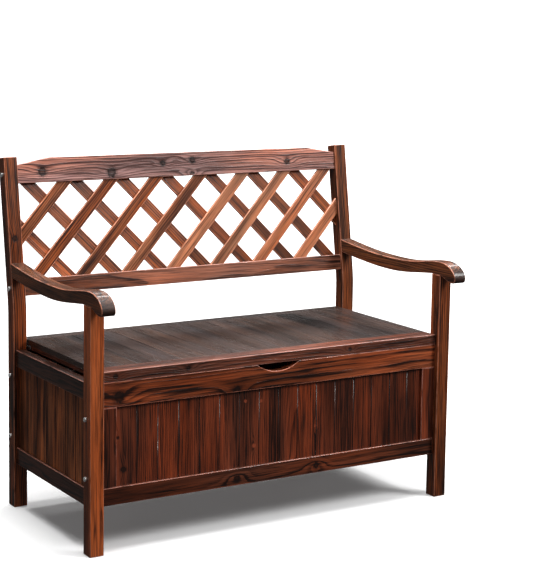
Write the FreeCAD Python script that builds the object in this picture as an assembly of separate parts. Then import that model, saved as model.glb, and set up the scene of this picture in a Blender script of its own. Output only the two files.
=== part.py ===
"""Storage bench in flamed fir: raked lattice back, curved arms, plank-built box and a lid on a gas strut.

Millimetres. X runs along the bench, Y from front to back, Z up. The pieces are drawn with Y = 0 on the
front faces of the front posts, and move as one at the end so that the origin lies on the floor, under
the middle of the bench's bounding box.
"""
import FreeCAD, Part
import math
import os

from FreeCAD import Placement, Rotation, Vector

# Frame of the bench
BENCH_WIDTH = 1066.0        # across the outer faces of the posts
POST_WIDTH = 37.0           # along X
POST_DEPTH = 37.0           # along Y
BASE_DEPTH = 495.5          # front face of the front posts to rear face of the rear posts
ARM_SEAT = 610.0            # top of the front posts, where the arms rest
RAKE_START = 531.0          # height at which the rear posts lean back
RAKE_ANGLE = 8.7            # degrees
RAKE_BEND_RADIUS = 300.0    # of the rear posts' centre line
RAKED_LENGTH = 389.0        # rear posts' length above the bend
TENON_THICKNESS = 9.0
TENON_LENGTH = 20.0
TENON_SHOULDER = 6.0

# Panels of the box: rails and stiles with boards let into their grooves
RAIL_THICKNESS = 25.0
FRONT_INSET = 13.5          # front panel's face behind the front posts' faces
SIDE_INSET = 7.0            # side rails' faces inside the posts' outer faces
BOTTOM_RAIL = (117.0, 161.0)
FRONT_TOP_RAIL = (358.0, 420.5)
SIDE_TOP_RAIL = (377.0, 420.5)
STILE_WIDTH = 40.0
BOARD_THICKNESS = 10.0
BOARD_PITCH = 57.8          # cover width of one board
BOARD_CHAMFER = 1.6         # makes the V joints
BOARD_TONGUE = 4.0
MIN_BOARD = 12.0            # a narrower rest goes to the last board
GROOVE_DEPTH = 5.0
NOTCH_WIDTH = 124.0         # finger notch in the front top rail
NOTCH_DEPTH = 21.0

# Floor of the box
CLEAT = 20.0
CLEAT_BOTTOM = 121.0
FLOOR_THICKNESS = 12.0
FLOOR_BOARDS = 9
FLOOR_GAP = 3.0
FLOOR_END_PLAY = 1.0
FLOOR_FRONT_PLAY = 0.5
CLEAT_SCREWS = 5

# Backrest, in heights along the raked centre line above the bend
LOWER_RAIL = (26.5, 70.0)
UPPER_RAIL = (320.0, 385.0)
UPPER_RAIL_END = 368.0      # the upper rail's height at the posts
UPPER_RAIL_SLOPE = 94.0     # length of each sloped end
SLAT_COUNT = 8
SLAT_WIDTH = 31.0
SLAT_THICKNESS = 8.0
SLAT_PITCH = 137.0
SLAT_RUN = 239.0            # how far a slat travels along X between the rails
FIRST_SLAT_TOP = -360.0     # where the first rising slat meets the upper rail
SLAT_LET_IN = 8.0
SLAT_BLANK = 3.0            # untrimmed length, in times the run between the rails, so both ends get cut

# Arms
ARM_NOSE = 62.0             # how far an arm reaches in front of its post
ARM_NOSE_HEIGHT = 606.0     # height of the foremost point
ARM_CREST = (5.0, 646.0)
ARM_LIP_RADIUS = 11.0
# Side view of the arm as (Y, Z), from its end inside the rear post, and the hollow under its nose
ARM_TOP_CURVE = ((500, 649), (420, 639.5), (330, 631), (215, 627.5), (150, 629.5), (88, 637), (45, 643.2))
ARM_UNDER_CURVE = ((88, 604.5), (146, 597.5), (215, 593), (300, 594.8), (380, 600.5), (500, 613))
ARM_LIP_CURVE = ((-34, 597.6), (-16, 604.2))
DOWEL_RADIUS = 5.0
DOWEL_LENGTH = 40.0
ARM_SCREW_HEIGHT = 622.0
ARM_SCREW_LENGTH = 85.0
ARM_SCREW_SINK = 2.0        # how far its head sits below the post's rear face
ARM_SCREW_HOLE = 6.0        # length of the hole over its head, out through that face

# Lid
LID_LENGTH = 989.0
LID_FRONT = 12.5
LID_THICKNESS = 26.5
LID_GAP = 0.4               # over the rails when shut
LID_FRONT_BOARD = 58.0
LID_REAR_BOARD = 48.0
LID_LEDGE = 10.0            # of the front and rear boards, under the planks' ends
LID_PLANK_THICKNESS = 14.5
BATTEN_WIDTH = 42.0
BATTEN_INSET = 3.0          # from the lid's ends
MIDDLE_BATTEN_WIDTH = 28.0
MIDDLE_BATTEN_PLACE = 250.0

# Hinges
HINGE_OFFSET = 385.0        # hinge centres from the middle of the bench
HINGE_LENGTH = 60.0
LEAF_WIDTH = 20.0
LEAF_THICKNESS = 1.6
LEAF_GAP = 0.2
KNUCKLES = 5
KNUCKLE_RADIUS = 3.2
KNUCKLE_GAP = 0.4
KNUCKLE_CLEARANCE = 0.3     # to the wood around it
PIN_RADIUS = 1.5
PIN_CLEARANCE = 0.05
HINGE_POCKET_PLAY = 0.5
HINGE_SETBACK = 0.6         # of the barrel from the back rail's rear face
LEAF_SCREW_SPACING = 22.0

# Gas strut, measured from the hinge line
STRUT_X = -484.0
STRUT_BOX_PIVOT = (310.0, 16.0)     # forward of the hinge line, and below it
STRUT_LID_PIVOT = (145.0, 22.0)     # the same, with the lid shut
TUBE_RADIUS = 7.5
TUBE_WALL = 1.0
TUBE_START = 13.0
TUBE_END = 128.0
GLAND_LENGTH = 8.0
ROD_RADIUS = 3.0
ROD_CLEARANCE = 0.05
ROD_START = 38.0
PISTON_LENGTH = 8.0
PISTON_CLEARANCE = 0.08
SOCKET_RADIUS = 6.5
SOCKET_WIDTH = 9.0
SOCKET_NECK = 4.5
STUD_RADIUS = 3.6
STUD_CLEARANCE = 0.05
STUD_GAP = 0.3              # between the lid's stud and the rod's socket
BRACKET_THICKNESS = 2.5
BRACKET_WIDTH = 26.0
BRACKET_HOLE = 9.0          # screws from the bracket's middle, along Y
BRACKET_MARGIN = 3.0        # from the side rail's edges
BRACKET_SCREW_MARGIN = 6.0  # from the bracket's edges
LID_BRACKET_EAR = -466.5    # the hanging ear's inner face
LID_BRACKET_FLANGE = 20.0   # width under the batten

# Bolts, barrel nuts and screws
BOLT_RADIUS = 3.0
BOLT_LENGTH = 66.0
BOLT_HEAD_RADIUS = 5.6
BOLT_HEAD_HEIGHT = 3.0
BOLT_SOCKET_RADIUS = 2.2
BOLT_SOCKET_DEPTH = 1.8
NUT_RADIUS = 5.0
NUT_LENGTH = 14.0
NUT_PLACE = 58.0            # from the post's outer face
LOWER_BOLT_HEIGHT = 188.0
FRONT_BOLT_HEIGHT = 334.0
REAR_BOLT_HEIGHT = 350.0
SCREW_RADIUS = 1.75
SCREW_HEAD_RADIUS = 3.2
SCREW_HEAD_HEIGHT = 1.6
SCREW_POINT_LENGTH = 5.25
SCREW_TIP_RADIUS = 0.3
SHORT_SCREW = 11.0
HINGE_SCREW = 15.0
CLEAT_SCREW = 34.0
BATTEN_SCREW = 20.0
BATTEN_SCREW_PLACES = (0.08, 0.36, 0.64, 0.92)      # along each batten

# Worked out from the sizes above
POST_OUTER = BENCH_WIDTH / 2
POST_INNER = POST_OUTER - POST_WIDTH
REAR_POST_FRONT = BASE_DEPTH - POST_DEPTH
PIVOT_Y = BASE_DEPTH - POST_DEPTH / 2
RAKE = math.radians(RAKE_ANGLE)
SIDE_FACE = POST_OUTER - SIDE_INSET
SIDE_INNER = SIDE_FACE - RAIL_THICKNESS
FRONT_PANEL = (FRONT_INSET, FRONT_INSET + RAIL_THICKNESS)
REAR_PANEL = (BASE_DEPTH - RAIL_THICKNESS, BASE_DEPTH)
BOARD_INSET = (RAIL_THICKNESS - BOARD_THICKNESS) / 2
RAIL_TOP = FRONT_TOP_RAIL[1]
LID_BOTTOM = RAIL_TOP + LID_GAP
LID_TOP = LID_BOTTOM + LID_THICKNESS
PLANK_BOTTOM = LID_TOP - LID_PLANK_THICKNESS
LID_END = LID_LENGTH / 2
HINGE_Z = RAIL_TOP + KNUCKLE_RADIUS + KNUCKLE_CLEARANCE
HINGE_Y = BASE_DEPTH - KNUCKLE_RADIUS - HINGE_SETBACK
LID_REAR = HINGE_Y - KNUCKLE_RADIUS - KNUCKLE_CLEARANCE
BOX_PIVOT_YZ = (HINGE_Y - STRUT_BOX_PIVOT[0], HINGE_Z - STRUT_BOX_PIVOT[1])
LID_PIVOT_YZ = (HINGE_Y - STRUT_LID_PIVOT[0], HINGE_Z - STRUT_LID_PIVOT[1])
BATTEN_OUTER = LID_END - BATTEN_INSET
FLOOR_BOTTOM = CLEAT_BOTTOM + CLEAT
REAR_TOP_Y = PIVOT_Y + RAKED_LENGTH * math.sin(RAKE) + POST_DEPTH / 2 * math.cos(RAKE)
ORIGIN_Y = (REAR_TOP_Y - ARM_NOSE) / 2

nodes = {}


def box(x, y, z):
    """A block between the two ends of each range, in any order."""
    low = Vector(min(x), min(y), min(z))
    size = Vector(max(x), max(y), max(z)) - low
    return Part.makeBox(size.x, size.y, size.z, low)


def rod(radius, length, start, direction):
    return Part.makeCylinder(radius, length, Vector(*start), Vector(*direction))


def mirrored(shape):
    """The same piece on the other side of the bench."""
    return shape.mirror(Vector(0, 0, 0), Vector(1, 0, 0))


def raked(shape):
    """Tips a piece drawn upright over the rear posts' bend back to the backrest's angle."""
    tipped = shape.copy()
    tipped.rotate(Vector(0, PIVOT_Y, RAKE_START), Vector(1, 0, 0), -RAKE_ANGLE)
    return tipped


def side_profile(edges, x0, x1):
    """A solid from an outline drawn in (Y, Z), as wide as the range of X."""
    outline = Part.Face(Part.Wire(edges))
    outline.Placement = Placement(Vector(x0, 0, 0), Rotation(Vector(1, 1, 1), 120))
    return outline.extrude(Vector(x1 - x0, 0, 0))


def line(a, b):
    return Part.makeLine(Vector(*a, 0), Vector(*b, 0))


def spline(points, **tangents):
    curve = Part.BSplineCurve()
    curve.interpolate([Vector(*p, 0) for p in points], **tangents)
    return curve.toShape()


def screw(head, direction, length):
    """A countersunk wood screw, from the middle of its flat head."""
    head = Vector(*head)
    direction = Vector(*direction)
    cone = Part.makeCone(SCREW_HEAD_RADIUS, SCREW_RADIUS, SCREW_HEAD_HEIGHT, head, direction)
    shank_length = length - SCREW_HEAD_HEIGHT - SCREW_POINT_LENGTH
    neck = head + direction * SCREW_HEAD_HEIGHT
    shank = Part.makeCylinder(SCREW_RADIUS, shank_length, neck, direction)
    point_start = neck + direction * shank_length
    tip = Part.makeCone(SCREW_RADIUS, SCREW_TIP_RADIUS, SCREW_POINT_LENGTH, point_start, direction)
    return cone.fuse([shank, tip]).removeSplitter()


def drill(names, tools):
    """Cuts the tools out of the named nodes."""
    for name in names:
        nodes[name] = nodes[name].cut(tools)


def group(pieces):
    return Part.makeCompound(pieces)


def board_ends(first, last):
    """Start and end of each board laid from first to last, with the rest in the last one."""
    step = math.copysign(BOARD_PITCH, last - first)
    ends = [first]
    while abs(last - ends[-1]) > BOARD_PITCH + MIN_BOARD:
        ends.append(ends[-1] + step)
    ends.append(last)
    ends.sort()
    return list(zip(ends[:-1], ends[1:]))


def board_outline(low, high, first, last, thickness, let_in):
    """Section of one tongued board as (across, depth) points, with depth 0 on the show face."""
    start = low - let_in if first else low
    end = high + let_in if last else high
    middle = thickness / 2
    tongue = thickness / 6
    points = [(start, BOARD_CHAMFER), (start + BOARD_CHAMFER, 0)]
    points += [(end - BOARD_CHAMFER, 0), (end, BOARD_CHAMFER)]
    if not last:
        points += [(end, middle - tongue), (end + BOARD_TONGUE, middle - tongue)]
        points += [(end + BOARD_TONGUE, middle + tongue), (end, middle + tongue)]
    points += [(end, thickness), (start, thickness)]
    if not first:
        points += [(start, middle + tongue), (start + BOARD_TONGUE, middle + tongue)]
        points += [(start + BOARD_TONGUE, middle - tongue), (start, middle - tongue)]
    return points


def boarding(first, last, thickness, let_in, place, run):
    """Boards side by side. place(across, depth) gives a point at one end, and run the boards' length."""
    ends = board_ends(first, last)
    boards = []
    for number, (low, high) in enumerate(ends):
        section = board_outline(low, high, number == 0, number == len(ends) - 1, thickness, let_in)
        corners = [place(*point) for point in section]
        boards.append(Part.Face(Part.makePolygon(corners + corners[:1])).extrude(run))
    return boards


# ---------------------------------------------------------------- posts and arms

def front_post():
    return box((-POST_OUTER, -POST_INNER), (0, POST_DEPTH), (0, ARM_SEAT))


def rear_post_outline():
    """Edges of the rear post's side view: upright below, a short bend, then straight and leaning."""
    tangent = RAKE_BEND_RADIUS * math.tan(RAKE / 2)
    bend_y = PIVOT_Y + RAKE_BEND_RADIUS
    bend_z = RAKE_START - tangent

    def on_bend(offset, angle):
        radius = RAKE_BEND_RADIUS - offset
        return (bend_y - radius * math.cos(angle), bend_z + radius * math.sin(angle))

    def top(offset):
        y = PIVOT_Y + RAKED_LENGTH * math.sin(RAKE) + offset * math.cos(RAKE)
        return (y, RAKE_START + RAKED_LENGTH * math.cos(RAKE) - offset * math.sin(RAKE))

    def bend(offset):
        points = [Vector(*on_bend(offset, angle), 0) for angle in (0, RAKE / 2, RAKE)]
        return Part.Arc(*points).toShape()

    half = POST_DEPTH / 2
    front, rear = -half, half
    return [
        line((PIVOT_Y + front, 0), on_bend(front, 0)), bend(front),
        line(on_bend(front, RAKE), top(front)), line(top(front), top(rear)),
        line(top(rear), on_bend(rear, RAKE)), bend(rear),
        line(on_bend(rear, 0), (PIVOT_Y + rear, 0)), line((PIVOT_Y + rear, 0), (PIVOT_Y + front, 0)),
    ]


def arm_outline():
    """Edges of the arm's side view, running into the rear post, which then trims it."""
    crest_y, crest_z = ARM_CREST
    top = [*ARM_TOP_CURVE, ARM_CREST]
    under = [(POST_DEPTH, ARM_SEAT), *ARM_UNDER_CURVE]
    lip_end = (-ARM_NOSE + ARM_LIP_RADIUS, ARM_NOSE_HEIGHT - ARM_LIP_RADIUS)
    lip = [lip_end, *ARM_LIP_CURVE, (0, ARM_SEAT)]
    reach = crest_y + ARM_NOSE
    nose = Part.Ellipse(Vector(crest_y, ARM_NOSE_HEIGHT, 0), reach, crest_z - ARM_NOSE_HEIGHT)
    nose_edge = Part.ArcOfEllipse(nose, math.pi / 2, math.pi).toShape()
    foremost = (-ARM_NOSE, ARM_NOSE_HEIGHT)
    slant = ARM_LIP_RADIUS * (1 - math.sqrt(0.5))
    half_way = (-ARM_NOSE + slant, ARM_NOSE_HEIGHT - ARM_LIP_RADIUS + slant)
    lip_arc = Part.Arc(Vector(*foremost, 0), Vector(*half_way, 0), Vector(*lip_end, 0)).toShape()
    return [
        spline(top), nose_edge, lip_arc, spline(lip), line(lip[-1], under[0]),
        spline(under), line(under[-1], top[0]),
    ]


def make_posts_and_arms():
    front = front_post()
    rear = side_profile(rear_post_outline(), -POST_OUTER, -POST_INNER)
    arm = side_profile(arm_outline(), -POST_OUTER, -POST_INNER)
    arm = arm.cut(rear)
    middle_x = -POST_OUTER + POST_WIDTH / 2
    dowel_foot = (middle_x, POST_DEPTH / 2, ARM_SEAT - DOWEL_LENGTH / 2)
    dowel = rod(DOWEL_RADIUS, DOWEL_LENGTH, dowel_foot, (0, 0, 1))
    rear_face = PIVOT_Y + (ARM_SCREW_HEIGHT - RAKE_START) * math.tan(RAKE) + POST_DEPTH / 2 / math.cos(RAKE)
    head = (middle_x, rear_face - ARM_SCREW_SINK, ARM_SCREW_HEIGHT)
    arm_screw = screw(head, (0, -1, 0), ARM_SCREW_LENGTH)
    head_hole = rod(SCREW_HEAD_RADIUS, ARM_SCREW_HOLE, head, (0, 1, 0))
    front = front.cut(dowel)
    rear = rear.cut([arm_screw, head_hole])
    arm = arm.cut([dowel, arm_screw])
    for name, piece in (("post_front", front), ("post_rear", rear), ("arm", arm)):
        nodes[name + "_left"] = piece
        nodes[name + "_right"] = mirrored(piece)
    nodes["arm_dowels"] = group([dowel, mirrored(dowel)])
    nodes["arm_screws"] = group([arm_screw, mirrored(arm_screw)])


# ---------------------------------------------------------------- panels of the box

def make_side_panels():
    """Rails tenoned into the posts, and boards that stand in the grooves of rails and posts."""
    board_face = -SIDE_FACE + BOARD_INSET
    board_low = BOTTOM_RAIL[1] - GROOVE_DEPTH
    board_high = SIDE_TOP_RAIL[0] + GROOVE_DEPTH
    boards = boarding(
        REAR_POST_FRONT, POST_DEPTH, BOARD_THICKNESS, GROOVE_DEPTH,
        lambda across, depth: Vector(board_face + depth, across, board_low),
        Vector(0, 0, board_high - board_low),
    )
    slot = box((board_face, board_face + BOARD_THICKNESS),
               (POST_DEPTH - GROOVE_DEPTH, REAR_POST_FRONT + GROOVE_DEPTH), (board_low, board_high))
    tenon_x = (-SIDE_FACE + BOARD_INSET, -SIDE_FACE + BOARD_INSET + TENON_THICKNESS)
    rails = {}
    tenons = []
    for name, (low, high) in (("bottom", BOTTOM_RAIL), ("top", SIDE_TOP_RAIL)):
        rail = box((-SIDE_FACE, -SIDE_INNER), (POST_DEPTH, REAR_POST_FRONT), (low, high))
        tenon = box(tenon_x, (POST_DEPTH - TENON_LENGTH, REAR_POST_FRONT + TENON_LENGTH),
                    (low + TENON_SHOULDER, high - TENON_SHOULDER))
        tenons.append(tenon)
        rails[name] = rail.fuse(tenon).cut(slot).removeSplitter()
    for side, turn in (("left", lambda shape: shape), ("right", mirrored)):
        for name, rail in rails.items():
            nodes[f"side_rail_{name}_{side}"] = turn(rail)
        nodes[f"side_planks_{side}"] = group([turn(board) for board in boards])
        tools = [turn(shape) for shape in tenons + [slot]]
        drill([f"post_front_{side}", f"post_rear_{side}"], tools)


def make_long_panel(name, depth, top_rail, show_side):
    """Front or back panel: two full-length rails, a stile at each end, boards between them."""
    stile_edge = POST_INNER - STILE_WIDTH
    board_face = depth[0] + BOARD_INSET if show_side < 0 else depth[1] - BOARD_INSET
    board_low = BOTTOM_RAIL[1] - GROOVE_DEPTH
    board_high = top_rail[0] + GROOVE_DEPTH
    boards = boarding(
        -stile_edge, stile_edge, BOARD_THICKNESS, GROOVE_DEPTH,
        lambda across, inward: Vector(across, board_face - show_side * inward, board_low),
        Vector(0, 0, board_high - board_low),
    )
    slot_end = stile_edge + GROOVE_DEPTH
    slot_y = (board_face, board_face - show_side * BOARD_THICKNESS)
    slot = box((-slot_end, slot_end), slot_y, (board_low, board_high))
    stile = box((-POST_INNER, -stile_edge), depth, (BOTTOM_RAIL[1], top_rail[0]))
    tenon = box((-POST_INNER + TENON_SHOULDER, -slot_end), slot_y, (board_low, board_high))
    stile = stile.fuse(tenon).cut(slot).removeSplitter()
    tenons = [tenon, mirrored(tenon)]
    for place, heights in (("bottom", BOTTOM_RAIL), ("top", top_rail)):
        rail = box((-POST_INNER, POST_INNER), depth, heights)
        nodes[f"{name}_rail_{place}"] = rail.cut([slot] + tenons)
    nodes[f"{name}_stile_left"] = stile
    nodes[f"{name}_stile_right"] = mirrored(stile)
    nodes[f"{name}_planks"] = group(boards)


def cut_finger_notch():
    """A shallow round scoop in the top edge of the front rail."""
    radius = ((NOTCH_WIDTH / 2) ** 2 + NOTCH_DEPTH ** 2) / (2 * NOTCH_DEPTH)
    centre = (0, 0, RAIL_TOP - NOTCH_DEPTH + radius)
    drill(["front_rail_top"], [rod(radius, FRONT_PANEL[1] + 1, centre, (0, 1, 0))])


def make_floor():
    end = POST_INNER - FLOOR_END_PLAY
    heights = (CLEAT_BOTTOM, FLOOR_BOTTOM)
    nodes["floor_cleat_front"] = box((-end, end), (FRONT_PANEL[1], FRONT_PANEL[1] + CLEAT), heights)
    nodes["floor_cleat_rear"] = box((-end, end), (REAR_PANEL[0] - CLEAT, REAR_PANEL[0]), heights)
    width = (2 * end - (FLOOR_BOARDS - 1) * FLOOR_GAP) / FLOOR_BOARDS
    depth = (FRONT_PANEL[1] + FLOOR_FRONT_PLAY, REAR_PANEL[0] - FLOOR_FRONT_PLAY)
    boards = []
    for number in range(FLOOR_BOARDS):
        start = -end + number * (width + FLOOR_GAP)
        boards.append(box((start, start + width), depth, (FLOOR_BOTTOM, FLOOR_BOTTOM + FLOOR_THICKNESS)))
    nodes["floor_boards"] = group(boards)
    front, rear = [], []
    height = CLEAT_BOTTOM + CLEAT / 2
    for number in range(CLEAT_SCREWS):
        x = -end + 2 * end * (number + 0.5) / CLEAT_SCREWS
        front.append(screw((x, FRONT_PANEL[1] + CLEAT, height), (0, -1, 0), CLEAT_SCREW))
        rear.append(screw((x, REAR_PANEL[0] - CLEAT, height), (0, 1, 0), CLEAT_SCREW))
    drill(["floor_cleat_front", "front_rail_bottom"], front)
    drill(["floor_cleat_rear", "back_rail_bottom"], rear)
    nodes["floor_cleat_screws"] = group(front + rear)


# ---------------------------------------------------------------- backrest

def make_backrest():
    depth = (PIVOT_Y - RAIL_THICKNESS / 2, PIVOT_Y + RAIL_THICKNESS / 2)
    slat_low = LOWER_RAIL[1] - SLAT_LET_IN
    slat_high = UPPER_RAIL[0] + SLAT_LET_IN
    groove = box((-POST_INNER, POST_INNER), (PIVOT_Y - SLAT_THICKNESS, PIVOT_Y + SLAT_THICKNESS),
                 (RAKE_START + slat_low, RAKE_START + slat_high))
    lower = box((-POST_INNER, POST_INNER), depth, [RAKE_START + height for height in LOWER_RAIL])
    shoulder = POST_INNER - UPPER_RAIL_SLOPE
    outline = [
        (-POST_INNER, UPPER_RAIL[0]), (POST_INNER, UPPER_RAIL[0]), (POST_INNER, UPPER_RAIL_END),
        (shoulder, UPPER_RAIL[1]), (-shoulder, UPPER_RAIL[1]), (-POST_INNER, UPPER_RAIL_END),
    ]
    corners = [Vector(x, depth[0], RAKE_START + height) for x, height in outline]
    upper = Part.Face(Part.makePolygon(corners + corners[:1])).extrude(Vector(0, RAIL_THICKNESS, 0))
    nodes["backrest_rail_bottom"] = raked(lower.cut(groove))
    nodes["backrest_rail_top"] = raked(upper.cut(groove))

    field = box((-POST_INNER, POST_INNER), (PIVOT_Y - SLAT_THICKNESS, PIVOT_Y),
                (RAKE_START + slat_low, RAKE_START + slat_high))
    climb = UPPER_RAIL[0] - LOWER_RAIL[1]
    lean = math.atan2(SLAT_RUN, climb)
    length = SLAT_BLANK * math.hypot(SLAT_RUN, climb)
    slats = []
    for number in range(SLAT_COUNT):
        top_x = FIRST_SLAT_TOP + number * SLAT_PITCH
        blank = Part.makeBox(SLAT_WIDTH, SLAT_THICKNESS, length)
        blank.translate(Vector(-SLAT_WIDTH / 2, 0, -length / 2))
        blank.rotate(Vector(0, 0, 0), Vector(0, 1, 0), math.degrees(lean))
        blank.translate(Vector(top_x, PIVOT_Y - SLAT_THICKNESS, RAKE_START + UPPER_RAIL[0]))
        slats.append(blank.common(field))
    nodes["lattice_front_slats"] = group([raked(slat) for slat in slats])
    behind = Vector(0, SLAT_THICKNESS, 0)
    nodes["lattice_rear_slats"] = group([raked(mirrored(slat).translated(behind)) for slat in slats])


# ---------------------------------------------------------------- lid

def make_lid():
    """Planks laid front to back on the ledges of a front and a rear board, with battens under them."""
    front = (LID_FRONT, LID_FRONT + LID_FRONT_BOARD)
    rear = (LID_REAR - LID_REAR_BOARD, LID_REAR)
    length = (-LID_END, LID_END)
    full = (LID_BOTTOM, LID_TOP)
    plank_start, plank_end = front[1] - LID_LEDGE, rear[0] + LID_LEDGE
    planks = boarding(
        LID_END, -LID_END, LID_PLANK_THICKNESS, 0,
        lambda across, depth: Vector(across, plank_start, LID_TOP - depth),
        Vector(0, plank_end - plank_start, 0),
    )
    above = (PLANK_BOTTOM, LID_TOP)
    nodes["lid_front_board"] = box(length, front, full).cut(box(length, (plank_start, front[1]), above))
    nodes["lid_rear_board"] = box(length, rear, full).cut(box(length, (rear[0], plank_end), above))

    below = (LID_BOTTOM, PLANK_BOTTOM)
    between = (front[1], rear[0])
    inner = BATTEN_OUTER - BATTEN_WIDTH
    place = (MIDDLE_BATTEN_PLACE - MIDDLE_BATTEN_WIDTH / 2, MIDDLE_BATTEN_PLACE + MIDDLE_BATTEN_WIDTH / 2)
    nodes["lid_batten_left"] = box((-BATTEN_OUTER, -inner), between, below)
    nodes["lid_batten_right"] = box((inner, BATTEN_OUTER), between, below)
    nodes["lid_batten_middle"] = box((-inner, inner), place, below)
    centre_x = BATTEN_OUTER - BATTEN_WIDTH / 2
    screws = []
    for fraction in BATTEN_SCREW_PLACES:
        y = between[0] + fraction * (between[1] - between[0])
        screws += [screw((side * centre_x, y, LID_BOTTOM), (0, 0, 1), BATTEN_SCREW) for side in (-1, 1)]
    for fraction in BATTEN_SCREW_PLACES:
        x = (2 * fraction - 1) * inner
        screws.append(screw((x, MIDDLE_BATTEN_PLACE, LID_BOTTOM), (0, 0, 1), BATTEN_SCREW))
    drill(["lid_batten_left", "lid_batten_right", "lid_batten_middle"], screws)
    nodes["lid_planks"] = group([plank.cut(screws) for plank in planks])
    nodes["lid_batten_screws"] = group(screws)


# ---------------------------------------------------------------- hinges

def knuckle_spans():
    """Whether each knuckle is the frame's, and where it starts and ends along the barrel."""
    pitch = HINGE_LENGTH / KNUCKLES
    for number in range(KNUCKLES):
        start = -HINGE_LENGTH / 2 + number * pitch + KNUCKLE_GAP / 2
        yield number % 2 == 0, start, start + pitch - KNUCKLE_GAP


def hinge_leaf(bottom, on_frame):
    """One leaf with its knuckles. The frame's leaf has the outer and middle ones, the lid's the others."""
    leaf = box((-HINGE_LENGTH / 2, HINGE_LENGTH / 2), (HINGE_Y - LEAF_WIDTH, HINGE_Y),
               (bottom, bottom + LEAF_THICKNESS))
    reach = KNUCKLE_RADIUS + KNUCKLE_CLEARANCE
    barrels, gaps = [], []
    for is_frames, start, end in knuckle_spans():
        if is_frames == on_frame:
            barrels.append(rod(KNUCKLE_RADIUS, end - start, (start, HINGE_Y, HINGE_Z), (1, 0, 0)))
        else:
            gaps.append(box((start - KNUCKLE_GAP, end + KNUCKLE_GAP), (HINGE_Y - reach, HINGE_Y + reach),
                            (HINGE_Z - 2 * reach, HINGE_Z + 2 * reach)))
    bore = PIN_RADIUS if on_frame else PIN_RADIUS + PIN_CLEARANCE
    bore = rod(bore, HINGE_LENGTH, (-HINGE_LENGTH / 2, HINGE_Y, HINGE_Z), (1, 0, 0))
    return leaf.cut(gaps).fuse(barrels).cut(bore).removeSplitter()


def make_hinges():
    lid_leaf_bottom = RAIL_TOP + LEAF_THICKNESS + LEAF_GAP
    pin = rod(PIN_RADIUS, HINGE_LENGTH, (-HINGE_LENGTH / 2, HINGE_Y, HINGE_Z), (1, 0, 0))
    screw_y = HINGE_Y - LEAF_WIDTH / 2 - KNUCKLE_RADIUS / 2
    frame_screws, lid_screws = [], []
    for x in (-LEAF_SCREW_SPACING, 0, LEAF_SCREW_SPACING):
        frame_screws.append(screw((x, screw_y, RAIL_TOP + LEAF_THICKNESS), (0, 0, -1), HINGE_SCREW))
        lid_screws.append(screw((x, screw_y, lid_leaf_bottom), (0, 0, 1), HINGE_SCREW))
    frame_leaf = hinge_leaf(RAIL_TOP, True).cut(frame_screws)
    lid_leaf = hinge_leaf(lid_leaf_bottom, False).cut(lid_screws)
    half = HINGE_LENGTH / 2 + HINGE_POCKET_PLAY
    pocket = box((-half, half), (HINGE_Y - LEAF_WIDTH - HINGE_POCKET_PLAY, LID_REAR),
                 (LID_BOTTOM, lid_leaf_bottom + LEAF_THICKNESS))
    all_frame_screws, all_lid_screws = [], []
    for side, x in (("left", -HINGE_OFFSET), ("right", HINGE_OFFSET)):
        move = Vector(x, 0, 0)
        nodes[f"hinge_leaf_frame_{side}"] = frame_leaf.translated(move)
        nodes[f"hinge_leaf_lid_{side}"] = lid_leaf.translated(move)
        nodes[f"hinge_pin_{side}"] = pin.translated(move)
        frame_set = [piece.translated(move) for piece in frame_screws]
        lid_set = [piece.translated(move) for piece in lid_screws]
        drill(["back_rail_top"], frame_set)
        drill(["lid_rear_board"], [pocket.translated(move)] + lid_set)
        all_frame_screws += frame_set
        all_lid_screws += lid_set
    nodes["hinge_screws_frame"] = group(all_frame_screws)
    nodes["hinge_screws_lid"] = group(all_lid_screws)


# ---------------------------------------------------------------- gas strut

def strut_line():
    """The shut strut's length and its slope in degrees, from its box pivot to its lid pivot."""
    run = LID_PIVOT_YZ[0] - BOX_PIVOT_YZ[0]
    rise = LID_PIVOT_YZ[1] - BOX_PIVOT_YZ[1]
    return math.hypot(run, rise), math.degrees(math.atan2(rise, run))


def along_strut(shape):
    """Puts a piece drawn along +Y from the origin on the strut's line."""
    placed = shape.copy()
    placed.rotate(Vector(0, 0, 0), Vector(1, 0, 0), strut_line()[1])
    placed.translate(Vector(STRUT_X, *BOX_PIVOT_YZ))
    return placed


def socket(centre, neck_end):
    """A round end fitting across the strut, with a neck along it up to the tube or the rod."""
    fitting = rod(SOCKET_RADIUS, SOCKET_WIDTH, (-SOCKET_WIDTH / 2, centre, 0), (1, 0, 0))
    direction = (0, math.copysign(1, neck_end - centre), 0)
    return fitting.fuse(rod(SOCKET_NECK, abs(neck_end - centre), (0, centre, 0), direction))


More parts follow.
